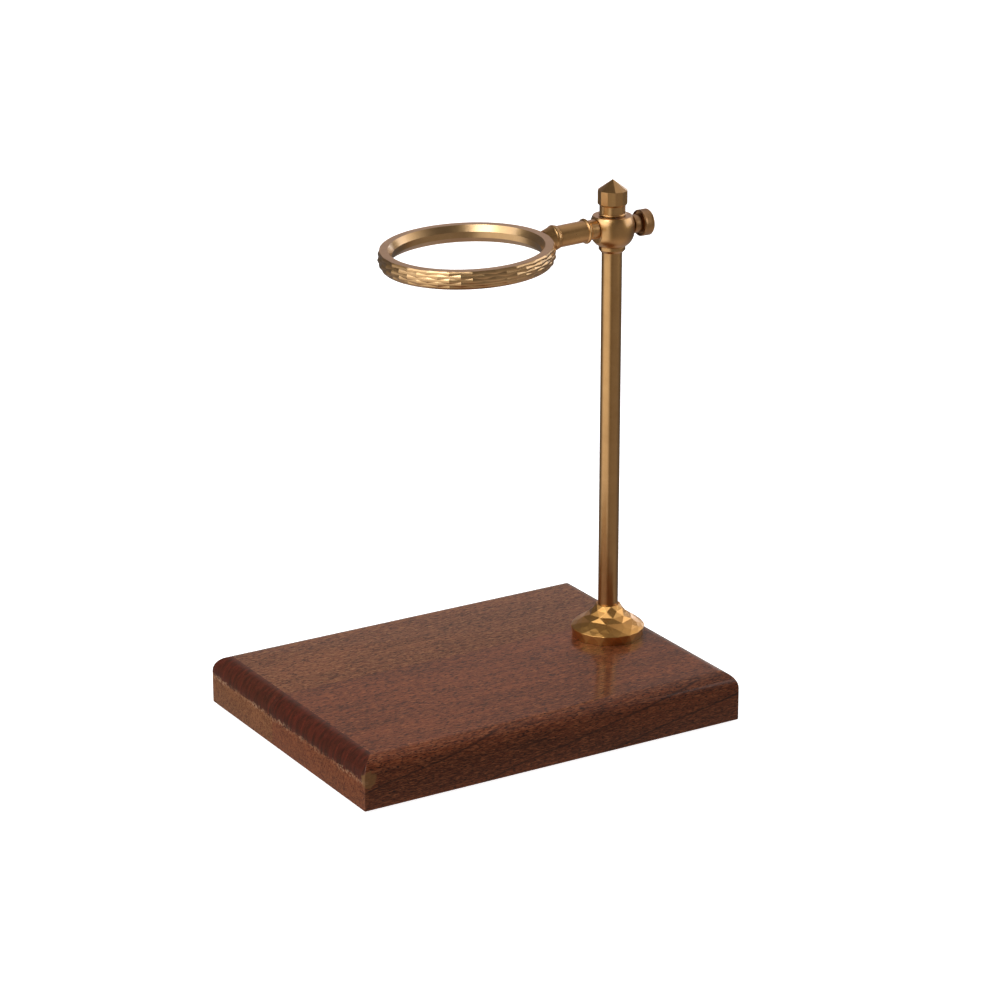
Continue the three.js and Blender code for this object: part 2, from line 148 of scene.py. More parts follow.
# Clamp screw, distances from the post's axis; the knob's outline before and after its
# knurl is (radius, distance)
CLAMP_RISE = 0.5
KNOB = {"rim": 6.5, "knurl_start": 15.65, "knurl_end": 20.15, "stud_hole": 17.8}
KNOB_NEAR = ((4.25, 10.9), (4.55, 11.2), (4.55, 13.6), (4.3, 16.4), (4.6, 16.9), (5.65, 16.9),
             (6, 16.75), (6.15, 15.2), (6.33, 15.55))
KNOB_END = ((6.33, 20.25), (6.15, 20.6), (5.35, 20.6), (5.15, 20.3), (4.95, 20.3), (4.75, 20.6))
KNURL = {"teeth": 48, "points": 4, "rows": 12, "depth": 0.17}

# Scales of the materials' noise along X, Y and Z, in waves a metre
BRASS_CLOUD = (60, 60, 60)
BRASS_MARKS = (25, 25, 5200)
BRASS_GRAIN = (1500, 1500, 1500)
PLAIN_GRAIN = (900, 900, 900)
WOOD_STREAKS = (7, 75, 60)
WOOD_RIBBONS = (22, 500, 500)
WOOD_FIBRES = (230, 1500, 2300)
WOOD_PORES = (520, 1700, 2500)
WOOD_LAYERS = (9, 42, 52)
SOAKED_STREAKS = (200, 420, 45)
END_DOTS = (300, 900, 900)
RAGGED = (350, 350, 350)
STRETCHES = (40, 40, 40)
STRETCHES_SHIFT = (2, 5, 1)
SWAY = (14, 14, 14)

# Depths of the materials' bumps, in metres
MARK_DEPTH = 0.00001
BRASS_DEPTH = 0.00002
PLAIN_DEPTH = 0.00004
WOOD_DEPTH = 0.00005

# Worn -X end of the base, in millimetres: how deep the end and the roundover reach, how
# far the varnish's lower edge sways, and the line of the scuffs with their reach
END_DEPTH = 2.0
ROUND_DEPTH = 0.94 * ROUNDOVER
VARNISH_SWAY = 5.0
SCUFF_LINE = 0.3
SCUFF_REACH = 5 / 3
DARK_VARNISH = (0.024, 0.005, 0.002)
RED_VARNISH = (0.085, 0.013, 0.006)
BARE_WOOD = (0.44, 0.26, 0.16)

# Painted highlight on the near corner: paler colour where the corner catches the light
CORNER_HIGHLIGHT_PLACE = (BASE_LOW.x + 2.5, BASE_LOW.y, DECK - ROUNDOVER - 1)
CORNER_HIGHLIGHT_REACH = 10
CORNER_HIGHLIGHT_SWAY = 6.0
CORNER_HIGHLIGHT_COLOUR = (0.2, 0.1, 0.035)

# Layers of grain on the front: how deep the front reaches, and the layers' heights at
# x = 0, slope and sway
FRONT_DEPTH = 0.5 * ROUNDOVER
LAYER_LEVELS = (-1, 13, 34)
LAYER_SLOPE = 0.2
LAYER_SWAY = 6.0

# Camera: degrees and millimetres. The offset is across, up and forward from the middle of
# the board's underside.
CAMERA_YAW = 31.299
CAMERA_PITCH = 19.327
CAMERA_LENS = 125.063
CAMERA_SENSOR = 36
CAMERA_OFFSET = (10.338, 106.380, -1698.97)
CAMERA_LIFT = PAD["height"]

# Stage, in metres
STAGE_RADIUS = 6
DOME_STEPS = 18
DOME_SINK = 0.05
LIGHT_TARGET = (0, 0, 0.12)

# Soft panels: name, azimuth from +X, elevation, distance, width, height, radiance, and
# whether they show in reflections and light matt surfaces
PANELS = (
    ("left_panel", 189, 38, 1.5, 1.9, 1.2, 1.6, True, False),
    ("left_matt", 170, 40, 1.5, 1.9, 1.2, 2.4, False, True),
    ("left_centre", 203, 46, 1.45, 0.55, 0.5, 4.2, True, False),
    ("right_panel", 340, 18, 1.5, 1.4, 0.8, 1.6, True, False),
    ("back_panel", 30, 6, 1.6, 0.8, 0.35, 1.8, True, False),
    ("key_panel", 120, 60, 1.6, 1.4, 1.2, 2.6, False, True),
    ("front_fill", 264, 2, 1.6, 1.4, 0.7, 0.95, False, True),
)

# Patches of the surround: azimuth, elevation, inner and outer angle, colour. The first one
# covers all directions.
SURROUND = (
    (0, 90, 179, 180, (0.1, 0.09, 0.085)),
    (59, 18, 12, 34, (0.33, 0.25, 0.22)),
    (352, 44, 12, 38, (0.5, 0.46, 0.42)),
    (45, 54, 10, 28, (0.35, 0.31, 0.27)),
    (180, -14, 30, 52, (0.88, 0.84, 0.76)),
    (290, -18, 25, 60, (0.15, 0.13, 0.105)),
    (0, -90, 20, 75, (0.32, 0.25, 0.2)),
)


# Meshes -------------------------------------------------------------------------------

def solid(vertices, faces):
    """A closed bmesh with outward faces."""
    shape = bmesh.new()
    made = [shape.verts.new(point) for point in vertices]
    for face in faces:
        shape.faces.new([made[i] for i in face])
    bmesh.ops.remove_doubles(shape, verts=shape.verts, dist=MERGE)
    bmesh.ops.dissolve_degenerate(shape, edges=shape.edges, dist=MERGE)
    bmesh.ops.recalc_face_normals(shape, faces=shape.faces)
    return shape


def turned(profile, segments=FINE):
    """A closed profile of (radius, height) points turned about Z."""
    count = len(profile)
    vertices = []
    for i in range(segments):
        angle = 2 * math.pi * i / segments
        vertices += [(r * math.cos(angle), r * math.sin(angle), z) for r, z in profile]
    faces = []
    for i in range(segments):
        here, there = i * count, (i + 1) % segments * count
        for j in range(count):
            k = (j + 1) % count
            if profile[j][0] > 0 or profile[k][0] > 0:
                faces.append(unique((here + j, there + j, there + k, here + k), profile, count))
    return solid(vertices, faces)


def unique(face, profile, count):
    """The face without the second of two corners that meet on the axis."""
    corners = []
    on_axis = False
    for corner in face:
        is_on_axis = profile[corner % count][0] == 0
        if not (is_on_axis and on_axis):
            corners.append(corner)
        on_axis = is_on_axis
    if len(corners) > 3 and profile[corners[0] % count][0] == 0 and on_axis:
        corners.pop()
    return corners


def rod(radius, start, end, segments=MEDIUM):
    return turned([(0, start), (radius, start), (radius, end), (0, end)], segments)


def rounded(profile, radius=EDGE):
    """The closed profile with each clear corner off the axis rounded."""
    result = []
    for i, point in enumerate(profile):
        corner = Vector(point)
        before = Vector(profile[i - 1]) - corner
        after = Vector(profile[(i + 1) % len(profile)]) - corner
        opening = before.angle(after)
        if corner.x == 0 or math.pi - opening < math.radians(BLUNT):
            result.append(tuple(point))
            continue
        reach = min(radius / math.tan(opening / 2), EDGE_SHARE * before.length,
                    EDGE_SHARE * after.length)
        start = corner + before.normalized() * reach
        end = corner + after.normalized() * reach
        for step in range(EDGE_STEPS + 1):
            t = step / EDGE_STEPS
            blend = start * (1 - t) ** 2 + corner * (2 * t * (1 - t)) + end * t ** 2
            result.append(tuple(blend))
    return result


def bead(base_radius, radius, middle, half):
    """Points of a rounded bead on a turned bar."""
    points = []
    for step in range(ARC_STEPS + 1):
        angle = math.pi * (step / ARC_STEPS - 0.5)
        points.append((base_radius + (radius - base_radius) * math.cos(angle),
                       middle + half * math.sin(angle)))
    return points


def polygon(sides, radius, height, first=0):
    """A level polygon, its first corner at an angle in degrees."""
    angles = [math.radians(first + 360 * i / sides) for i in range(sides)]
    return [(radius * math.cos(a), radius * math.sin(a), height) for a in angles]


def lofted(loops):
    """A solid through level loops of equal count, closed flat at both ends."""
    count = len(loops[0])
    vertices = [point for loop in loops for point in loop]
    faces = [tuple(reversed(range(count)))]
    for level in range(len(loops) - 1):
        for i in range(count):
            k = (i + 1) % count
            low, high = level * count, (level + 1) * count
            faces.append((low + i, low + k, high + k, high + i))
    top = (len(loops) - 1) * count
    faces.append(tuple(range(top, top + count)))
    return solid(vertices, faces)


def moved(shape, matrix):
    bmesh.ops.transform(shape, matrix=matrix, verts=shape.verts)
    return shape


def combined(shape, other, operation):
    """Boolean of two shapes by the exact solver."""
    objects = []
    for part in (shape, other):
        mesh = bpy.data.meshes.new("part")
        part.to_mesh(mesh)
        part.free()
        holder = bpy.data.objects.new("part", mesh)
        bpy.context.scene.collection.objects.link(holder)
        objects.append(holder)
    first, second = objects
    modifier = first.modifiers.new("boolean", "BOOLEAN")
    modifier.operation = operation
    modifier.solver = "EXACT"
    modifier.object = second
    bpy.context.view_layer.update()
    evaluated = first.evaluated_get(bpy.context.evaluated_depsgraph_get())
    result = bmesh.new()
    result.from_mesh(evaluated.to_mesh())
    evaluated.to_mesh_clear()
    for holder in objects:
        mesh = holder.data
        bpy.data.objects.remove(holder)
        bpy.data.meshes.remove(mesh)
    bmesh.ops.remove_doubles(result, verts=result.verts, dist=MERGE)
    bmesh.ops.dissolve_degenerate(result, edges=result.edges, dist=MERGE)
    return result


def cut(shape, *tools):
    for tool in tools:
        shape = combined(shape, tool, "DIFFERENCE")
    return shape


def bevelled(shape, width, angle=10, segments=2):
    """The shape with every edge sharper than an angle bevelled."""
    bmesh.ops.dissolve_limit(shape, angle_limit=math.radians(FLAT), verts=shape.verts,
                             edges=shape.edges)
    edges = [e for e in shape.edges if e.is_manifold and e.calc_face_angle() > math.radians(angle)]
    bmesh.ops.bevel(shape, geom=edges, offset=width, segments=segments, profile=0.5,
                    affect="EDGES", clamp_overlap=True)
    return shape


def make_piece(name, shape, material, body, place=Matrix(), nodes=(), sharp=30):
    """Turns a shape into a piece that rides on a body and stands for CAD nodes."""
    bmesh.ops.scale(shape, vec=(MM, MM, MM), verts=shape.verts)
    mesh = bpy.data.meshes.new(name)
    shape.to_mesh(mesh)
    shape.free()
    mesh.shade_smooth()
    mesh.set_sharp_from_angle(angle=math.radians(sharp))
    mesh.materials.append(material)
    piece = bpy.data.objects.new(name, mesh)
    bpy.context.scene.collection.objects.link(piece)
    location = place.to_translation() * MM
    piece.matrix_world = Matrix.Translation(location) @ place.to_quaternion().to_matrix().to_4x4()
    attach(piece, body)
    if nodes:
        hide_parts(*nodes)
    return piece


# Places of the local frames, in millimetres --------------------------------------------

ON_POST = Matrix.Translation((POST_X, 0, 0))
ON_DECK = Matrix.Translation((POST_X, 0, DECK))
ON_HUB = Matrix.Translation((POST_X, 0, HUB_Z))
ARM_TILT = Matrix.Rotation(math.radians(-ARM_DROOP), 4, "Y")
ARM_ROOT = Matrix.Translation((0, 0, ARM_RISE)) @ ARM_TILT
ALONG_ARM = ARM_ROOT @ Matrix.Rotation(-math.pi / 2, 4, "Y")
ALONG_SCREW = Matrix.Translation((0, 0, CLAMP_RISE)) @ Matrix.Rotation(math.pi / 2, 4, "Y")


# Materials ------------------------------------------------------------------------------

class Shader:
    """A material with a Principled shader, and short ways to add nodes to it."""

    def __init__(self, name):
        self.material = bpy.data.materials.new(name)
        self.material.use_nodes = True
        self.tree = self.material.node_tree
        self.tree.nodes.clear()
        self.principled = self.add("ShaderNodeBsdfPrincipled")
        output = self.add("ShaderNodeOutputMaterial")
        self.link(self.principled.outputs["BSDF"], output.inputs["Surface"])
        self.place = self.add("ShaderNodeTexCoord").outputs["Object"]

    def add(self, kind, **settings):
        node = self.tree.nodes.new(kind)
        for key, value in settings.items():
            setattr(node, key, value)
        return node

    def link(self, source, target):
        self.tree.links.new(source, target)

    def set(self, **values):
        for key, value in values.items():
            self.principled.inputs[key.replace("_", " ")].default_value = value

    def noise(self, scales, shift=(0, 0, 0), detail=4.0, roughness=0.5):
        """Noise over object coordinates, with scales in waves a metre."""
        mapping = self.add("ShaderNodeMapping")
        mapping.inputs["Scale"].default_value = scales
        mapping.inputs["Location"].default_value = shift
        self.link(self.place, mapping.inputs["Vector"])
        node = self.add("ShaderNodeTexNoise")
        self.link(mapping.outputs["Vector"], node.inputs["Vector"])
        node.inputs["Scale"].default_value = 1.0
        node.inputs["Detail"].default_value = detail
        node.inputs["Roughness"].default_value = roughness
        return node.outputs["Fac"]

    def ramp(self, value, *stops):
        """Colour or grey by position: each stop is (position, colour or grey)."""
        node = self.add("ShaderNodeValToRGB")
        elements = node.color_ramp.elements
        for i, (position, colour) in enumerate(stops):
            element = elements[i] if i < 2 else elements.new(position)
            element.position = position
            grey = (colour,) * 3 if isinstance(colour, (int, float)) else colour
            element.color = (*grey, 1)
        self.link(value, node.inputs["Fac"])
        return node.outputs["Color"]

    def mix(self, factor, first, second):
        node = self.add("ShaderNodeMix", data_type="RGBA")
        for value, socket in ((factor, node.inputs[0]), (first, node.inputs[6]),
                              (second, node.inputs[7])):
            if isinstance(value, (int, float)):
                socket.default_value = value
            elif isinstance(value, tuple):
                socket.default_value = (*value, 1)
            else:
                self.link(value, socket)
        return node.outputs[2]

    def math(self, operation, first, second=0.0):
        node = self.add("ShaderNodeMath", operation=operation)
        for value, socket in ((first, node.inputs[0]), (second, node.inputs[1])):
            if isinstance(value, (int, float)):
                socket.default_value = value
            else:
                self.link(value, socket)
        return node.outputs[0]

    def bump(self, height, distance, strength, after=None):
        """Adds a bump of a depth in metres on top of an earlier one."""
        node = self.add("ShaderNodeBump")
        node.inputs["Distance"].default_value = distance
        node.inputs["Strength"].default_value = strength
        self.link(height, node.inputs["Height"])
        if after is not None:
            self.link(after, node.inputs["Normal"])
        self.link(node.outputs["Normal"], self.principled.inputs["Normal"])
        return node.outputs["Normal"]

    def colour(self, value):
        self.link(value, self.principled.inputs["Base Color"])

    def roughness(self, value):
        self.link(value, self.principled.inputs["Roughness"])


def brass(name, bright, dark, smooth, rough, marks, lacquer):
    """Lacquered brass: fine marks round the local Z axis, a grainy skin and some tarnish.
    Marks is the strength of the marks, lacquer the coat's index of refraction."""
    shader = Shader(name)
    shader.set(Metallic=1.0)
    cloud = shader.noise(BRASS_CLOUD, detail=5, roughness=0.6)
    lines = shader.noise(BRASS_MARKS, detail=3)
    grain = shader.noise(BRASS_GRAIN, detail=3)
    tarnish = shader.ramp(cloud, (0.3, 0.0), (0.7, 1.0))
    skin = shader.mix(tarnish, bright, dark)
    shader.colour(shader.mix(shader.ramp(grain, (0.35, 0.25), (0.6, 0.0)), skin, dark))
    wear = shader.math("ADD", shader.math("MULTIPLY", cloud, 0.5),
                       shader.math("MULTIPLY", grain, 0.5))
    shader.roughness(shader.ramp(wear, (0.3, smooth), (0.7, rough)))
    shader.set(Coat_Weight=1.0, Coat_Roughness=0.2, Coat_IOR=lacquer)
    first = shader.bump(lines, MARK_DEPTH, marks)
    shader.bump(grain, BRASS_DEPTH, 0.06, first)
    return shader.material


def wood(name, light, dark, line, speck, shift):
    """Varnished wood with the grain along X: broad streaks, dark lines, short pores and fibres,
    the marks of use, and a painted highlight on the near corner."""
    shader = Shader(name)
    streaks = shader.noise(WOOD_STREAKS, shift, detail=3)
    ribbons = shader.noise(WOOD_RIBBONS, shift, detail=3)
    fibres = shader.noise(WOOD_FIBRES, detail=3, roughness=0.6)
    pores = shader.noise(WOOD_PORES, shift, detail=2)
    layers = shader.noise(WOOD_LAYERS, shift, detail=2)
    body = shader.ramp(shader.mix(0.5, streaks, ribbons), (0.42, dark), (0.57, light))
    contour = shader.math("ABSOLUTE", shader.math("SUBTRACT", layers, 0.5))
    lined = shader.mix(shader.ramp(contour, (0.0, 0.55), (0.014, 0.0)), body, line)
    specked = shader.mix(shader.ramp(fibres, (0.46, 0.0), (0.66, 0.85)), lined, speck)
    pored = shader.mix(shader.ramp(pores, (0.36, 0.95), (0.5, 0.0)), specked, line)
    board = Board(shader)
    # The colour carries a painted highlight on the near corner.
    shader.colour(layered(board, highlighted_corner(board, worn(board, pored, speck)), line))
    shader.roughness(shader.ramp(fibres, (0.3, 0.4), (0.7, 0.55)))
    shader.set(Coat_Weight=1.0, Coat_Roughness=0.14, Coat_IOR=1.3, Specular_IOR_Level=0.1)
    first = shader.bump(fibres, WOOD_DEPTH, 0.4)
    shader.bump(pores, WOOD_DEPTH, 0.4, first)
    return shader.material


class Board:
    """Places on the board in millimetres, for the marks on it: x and z, inward from the -X
    end, behind the front, and above the roundover's lower edge by a ragged measure."""

    def __init__(self, shader):
        self.shader = shader
        axes = shader.add("ShaderNodeSeparateXYZ")
        shader.link(shader.place, axes.inputs["Vector"])
        self.x, y, self.z = (shader.math("MULTIPLY", axes.outputs[axis], 1 / MM) for axis in "XYZ")
        self.inward = shader.math("SUBTRACT", self.x, BASE_LOW.x)
        self.behind = shader.math("SUBTRACT", y, BASE_LOW.y)
        self.ragged = shader.noise(RAGGED, detail=5, roughness=0.7)
        self.above = shader.math("ADD", shader.math("SUBTRACT", self.z, DECK - ROUNDOVER),
                                 shader.math("MULTIPLY", self.ragged, VARNISH_SWAY))


def worn(board, colour, speck):
    """The -X end: dark varnish on the roundover, which is mitred at the front, pale end
    grain below it, and bare scuffs along the line between them."""
    shader = board.shader
    mitred = shader.math("MINIMUM", board.behind, ROUND_DEPTH)
    on_round = shader.math("LESS_THAN", board.inward, mitred)
    varnished = shader.math("MULTIPLY", on_round, shader.ramp(board.above, (0.4, 0.0), (0.6, 0.9)))
    soaked = shader.noise(SOAKED_STREAKS, detail=4, roughness=0.65)
    varnish = shader.ramp(soaked, (0.38, DARK_VARNISH), (0.66, RED_VARNISH))
    dark = shader.mix(varnished, colour, varnish)

    on_end = shader.math("LESS_THAN", board.inward, END_DEPTH)
    dots = shader.noise(END_DOTS, detail=3, roughness=0.7)
    low = shader.math("LESS_THAN", board.above, 0.5)
    grain = shader.math("MULTIPLY", shader.ramp(dots, (0.42, 0.0), (0.6, 0.5)), low)
    grained = shader.mix(shader.math("MULTIPLY", on_end, grain), dark, speck)

    from_line = shader.math("ABSOLUTE", shader.math("SUBTRACT", board.above, SCUFF_LINE))
    from_line = shader.math("MULTIPLY", from_line, 1 / SCUFF_REACH)
    near_line = shader.ramp(from_line, (0.3, 1.0), (1.0, 0.0))
    bare = shader.math("MULTIPLY", near_line, shader.ramp(dots, (0.47, 0.0), (0.55, 0.9)))
    stretches = shader.noise(STRETCHES, STRETCHES_SHIFT, detail=2)
    bare = shader.math("MULTIPLY", bare, shader.ramp(stretches, (0.4, 0.25), (0.58, 1.0)))
    return shader.mix(shader.math("MULTIPLY", on_end, bare), grained, BARE_WOOD)


def highlighted_corner(board, colour):
    """A painted highlight on the near corner: paler colour mixed in where the corner catches the
    light.
    """
    shader = board.shader
    corner = shader.add("ShaderNodeVectorMath", operation="DISTANCE")
    shader.link(shader.place, corner.inputs[0])
    corner.inputs[1].default_value = Vector(CORNER_HIGHLIGHT_PLACE) * MM
    reach = shader.math("ADD", shader.math("MULTIPLY", corner.outputs["Value"], 1 / MM),
                        shader.math("MULTIPLY", board.ragged, CORNER_HIGHLIGHT_SWAY))
    reach = shader.math("MULTIPLY", reach, 1 / CORNER_HIGHLIGHT_REACH)
    # Painted highlight: the paler colour fades out from the near corner.
    return shader.mix(shader.ramp(reach, (0.62, 0.75), (0.72, 0.0)), colour, CORNER_HIGHLIGHT_COLOUR)


def layered(board, colour, line):
    """The dark edges of slanted layers of grain on the front."""
    shader = board.shader
    sway = shader.math("MULTIPLY", shader.noise(SWAY, detail=3), LAYER_SWAY)
    layer = shader.math("SUBTRACT", shader.math("ADD", board.z, sway),
                        shader.math("MULTIPLY", board.x, LAYER_SLOPE))
    near_front = shader.math("LESS_THAN", board.behind, FRONT_DEPTH)
    for level in LAYER_LEVELS:
        away = shader.math("ABSOLUTE", shader.math("SUBTRACT", layer, level))
        edge = shader.math("MULTIPLY", shader.ramp(away, (0.15, 0.7), (0.7, 0.0)), near_front)
        colour = shader.mix(edge, colour, line)
    return colour


def plain(name, colour, roughness, metallic=0.0):
    """A simple material with a fine grain in its colour, roughness and surface."""
    shader = Shader(name)
    shader.set(Metallic=metallic)
    speckle = shader.noise(PLAIN_GRAIN, detail=3)
    darker = tuple(0.7 * channel for channel in colour)
    shader.colour(shader.mix(speckle, darker, colour))
    smooth, rough = 0.85 * roughness, min(1, 1.15 * roughness)
    shader.roughness(shader.ramp(speckle, (0.3, smooth), (0.7, rough)))
    shader.bump(speckle, PLAIN_DEPTH, 0.4)
    return shader.material


SATIN = brass("satin_brass", bright=(0.66, 0.37, 0.12), dark=(0.5, 0.26, 0.07),
              smooth=0.27, rough=0.36, marks=0.4, lacquer=1.7)
CUT = brass("cut_brass", bright=(0.68, 0.43, 0.19), dark=(0.52, 0.3, 0.11),
            smooth=0.28, rough=0.36, marks=0.3, lacquer=1.7)
POLISHED = brass("polished_brass", bright=(0.77, 0.42, 0.13), dark=(0.63, 0.32, 0.085),
                 smooth=0.32, rough=0.4, marks=0.05, lacquer=1.25)
# A darker copy of the brass for the whole knob.
DARKER_KNOB_BRASS = brass("darker_knob_brass", bright=(0.46, 0.25, 0.09), dark=(0.34, 0.17, 0.06),
                smooth=0.3, rough=0.42, marks=0.3, lacquer=1.5)
STEEL = plain("steel", (0.55, 0.55, 0.56), roughness=0.35, metallic=1.0)
RUBBER = plain("rubber", (0.02, 0.02, 0.021), roughness=0.8)
NYLON = plain("nylon", (0.75, 0.72, 0.64), roughness=0.5)
WOOD_FRONT = wood("wood_front", light=(0.15, 0.034, 0.011), dark=(0.075, 0.014, 0.004),
                  line=(0.022, 0.004, 0.002), speck=(0.29, 0.095, 0.037), shift=(0.1, 1.3, 2.2))
WOOD_BACK = wood("wood_back", light=(0.165, 0.05, 0.019), dark=(0.09, 0.023, 0.007),
                 line=(0.028, 0.007, 0.003), speck=(0.31, 0.135, 0.058), shift=(0.3, 4.1, 3.3))


# Base -----------------------------------------------------------------------------------

def outline(inset, z, low_y, high_y, round_low, round_high):
    """One level of a stave: a rectangle with rounded outer corners."""
    low_x, high_x = BASE_LOW.x + inset, BASE_HIGH.x - inset
    bottom = low_y + inset if round_low else low_y
    top = high_y - inset if round_high else high_y
    corners = ((low_x, bottom, 180, round_low), (high_x, bottom, 270, round_low),
               (high_x, top, 0, round_high), (low_x, top, 90, round_high))
    points = []
    for x, y, start, is_round in corners:
        radius = PLAN_CORNER if is_round else GLUE_CORNER
        centre_x = x + radius if x == low_x else x - radius
        centre_y = y + radius if y == bottom else y - radius
        for step in range(CORNER_STEPS + 1):
            angle = math.radians(start + 90 * step / CORNER_STEPS)
            points.append((centre_x + radius * math.cos(angle),
                           centre_y + radius * math.sin(angle), z))
    return points


def stave(low_y, high_y, round_low, round_high):
    """Half of the board, rounded over on its outer top edges."""
    sides = (low_y, high_y, round_low, round_high)
    loops = [outline(inset * LOWER_EDGE, BASE_LOW.z + height * LOWER_EDGE, *sides)
             for inset, height in LOWER_EDGE_CURVE]
    for step in range(ROUNDOVER_STEPS + 1):
        angle = math.radians(90 * step / ROUNDOVER_STEPS)
        inset = ROUNDOVER * (1 - math.cos(angle))
        loops.append(outline(inset, DECK - ROUNDOVER + ROUNDOVER * math.sin(angle), *sides))
    return lofted(loops)


def add_base():
    front = stave(BASE_LOW.y, GLUE_Y - GLUE_GAP / 2, True, False)
    bottom = BASE_LOW.z
    bore = rod(COUNTERBORE["radius"], bottom - OVERCUT, bottom + COUNTERBORE["depth"])
    hole = rod(SCREW["radius"] + GAP, bottom + OVERCUT, DECK + OVERCUT)
    front = cut(front, moved(bore, ON_POST), moved(hole, ON_POST))
    make_piece("stave_front", front, WOOD_FRONT, "base", nodes=["base_stave_front"])
    back = stave(GLUE_Y + GLUE_GAP / 2, BASE_HIGH.y, False, True)
    make_piece("stave_back", back, WOOD_BACK, "base", nodes=["base_stave_back"])
    for depth in ("front", "back"):
        for side in ("left", "right"):
            add_pad(depth, side)


def add_pad(depth, side):
    node = f"foot_pad_{depth}_{side}"
    low, high = (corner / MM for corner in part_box(node))
    profile = rounded([(0, 0), (PAD["radius"], 0), (PAD["radius"], PAD["height"]),
                       (0, PAD["height"])], PAD["edge"])
    place = Matrix.Translation(((low.x + high.x) / 2, (low.y + high.y) / 2, 0))
    make_piece(f"pad_{depth}_{side}", turned(profile, MEDIUM), RUBBER, "base",
               place, [node])


def add_screw():
    seat = BASE_LOW.z + COUNTERBORE["depth"] - WASHER["thickness"]
    head = seat - SCREW["head_height"]
    profile = rounded([(0, head), (SCREW["head"], head), (SCREW["head"], seat),
                       (SCREW["radius"], seat), (SCREW["radius"], SCREW["end"]),
                       (0, SCREW["end"])])
    socket = rod(SCREW["socket"], head - OVERCUT, head + SCREW["socket_depth"], segments=6)
    screw = cut(turned(profile, MEDIUM), socket)
    make_piece("screw", screw, STEEL, "base", ON_POST, ["base_screw"])
    inner = SCREW["radius"] + GAP
    high = seat + WASHER["thickness"]
    ring = rounded([(inner, seat), (WASHER["radius"], seat), (WASHER["radius"], high),
                    (inner, high)], WASHER["edge"])
    make_piece("washer", turned(ring, MEDIUM), STEEL, "base", ON_POST, ["base_washer"])


# Post -----------------------------------------------------------------------------------

def zigzag(low, high, count):
    """Triangles between two loops of equal count, the upper one half a step ahead."""
    faces = []
    for i in range(count):
        k = (i + 1) % count
        faces += [(low + i, low + k, high + i), (low + k, high + k, high + i)]
    return faces


def foot_band(low, high, count):
    """Trapezoids that narrow downwards, with a triangle between neighbours."""
    faces = []
    for i in range(0, count, 2):
        right, after = i + 1, (i + 2) % count
        faces += [(low + i, low + right, high + right), (low + i, high + right, high + i),
                  (low + right, high + after, high + right),
                  (low + right, low + after, high + after)]
    return faces


def halving(low, high, count):
    """Triangles from a loop of twice the count, under every corner of the upper loop."""
    faces = []
    for i in range(count):
        k = (i + 1) % count
        first, middle, last = (low + (2 * i + n) % (2 * count) for n in (1, 2, 3))
        faces += [(first, middle, high + i), (middle, last, high + k),
                  (middle, high + k, high + i)]
    return faces


def flange_foot(step):
    """The lowest loop, two corners a repeat."""
    radius, half_angle = FLANGE_FOOT["radius"], FLANGE_FOOT["half_angle"]
    foot = []
    for i in range(FLANGE_SIDES):
        middle = FLANGE_TURN + (i + 0.5) * step
        for degrees in (middle - half_angle, middle + half_angle):
            angle = math.radians(degrees)
            foot.append((radius * math.cos(angle), radius * math.sin(angle), 0))
    return foot


def flange_shape():
    step = 360 / FLANGE_SIDES
    loops = [flange_foot(step)]
    for i, (radius, height) in enumerate(FLANGE_LOWER):
        loops.append(polygon(2 * FLANGE_SIDES, radius, height, FLANGE_TURN + i * step / 4))
    for i, (radius, height) in enumerate(FLANGE_FLARE):
        loops.append(polygon(FLANGE_SIDES, radius, height, FLANGE_TURN + (i + 2) * step / 2))
    joins = [foot_band, zigzag, zigzag, halving, zigzag, zigzag, zigzag]
    vertices = [point for loop in loops for point in loop]
    starts = [sum(len(loop) for loop in loops[:i]) for i in range(len(loops))]
    faces = [tuple(reversed(range(len(loops[0])))), tuple(range(starts[-1], len(vertices)))]
    for i, join in enumerate(joins):
        faces += join(starts[i], starts[i + 1], len(loops[i + 1]))
    return solid(vertices, faces)


def add_post():
    screw_hole = SCREW["radius"] + GAP
    flange = bevelled(flange_shape(), FACET_BEVEL)
    flange = cut(flange, rod(POST_RADIUS + RUN_GAP, FLANGE_WEB, FAR),
                 rod(screw_hole, -OVERCUT, FLANGE_WEB + OVERCUT))
    make_piece("flange", flange, POLISHED, "base", ON_DECK, ["foot_flange"],
               sharp=4)
    low, high = POST_LOW.z, POST_HIGH.z
    profile = rounded([(0, low), (POST_RADIUS, low), (POST_RADIUS, high), (0, high)])
    bar = cut(turned(profile), rod(screw_hole, low - OVERCUT, low + POST_HOLES["screw"]),
              rod(STUD_HOLE, high - POST_HOLES["stud"], high + OVERCUT))
    make_piece("post_bar", bar, SATIN, "base", ON_POST, ["post"])


def add_finial():
    f = FINIAL
    bottom, neck, foot = f["bottom"], f["neck"], f["base"] + f["foot_half"]
    levels = ((f["prism"], bottom), (f["prism"], f["pyramid"]), (f["tip"], f["top"]))
    loops = [polygon(FINIAL_SIDES, radius, z, FINIAL_TURN) for radius, z in levels]
    cone = turned([(0, bottom), (neck, bottom), (neck + f["cone"], bottom + f["cone"]),
                   (neck + f["cone"], f["top"] + OVERCUT), (0, f["top"] + OVERCUT)])
    head = combined(bevelled(lofted(loops), FACET_BEVEL), cone, "INTERSECT")
    stem = turned([(0, f["base"]), *bead(neck, f["foot"], foot, f["foot_half"]),
                   (neck, bottom + OVERCUT), (0, bottom + OVERCUT)])
    hole = rod(STUD_HOLE, f["base"] - OVERCUT, f["base"] + f["stud_hole"])
    cap = cut(combined(head, stem, "UNION"), hole)
    make_piece("finial_cap", cap, SATIN, "base", ON_HUB, ["finial"], sharp=4)


# Hub ------------------------------------------------------------------------------------

def ball_radius(height):
    half, power = BALL_UPPER if height > 0 else BALL_LOWER
    return BALL["radius"] * (1 - (abs(height) / half) ** power) ** (1 / power)


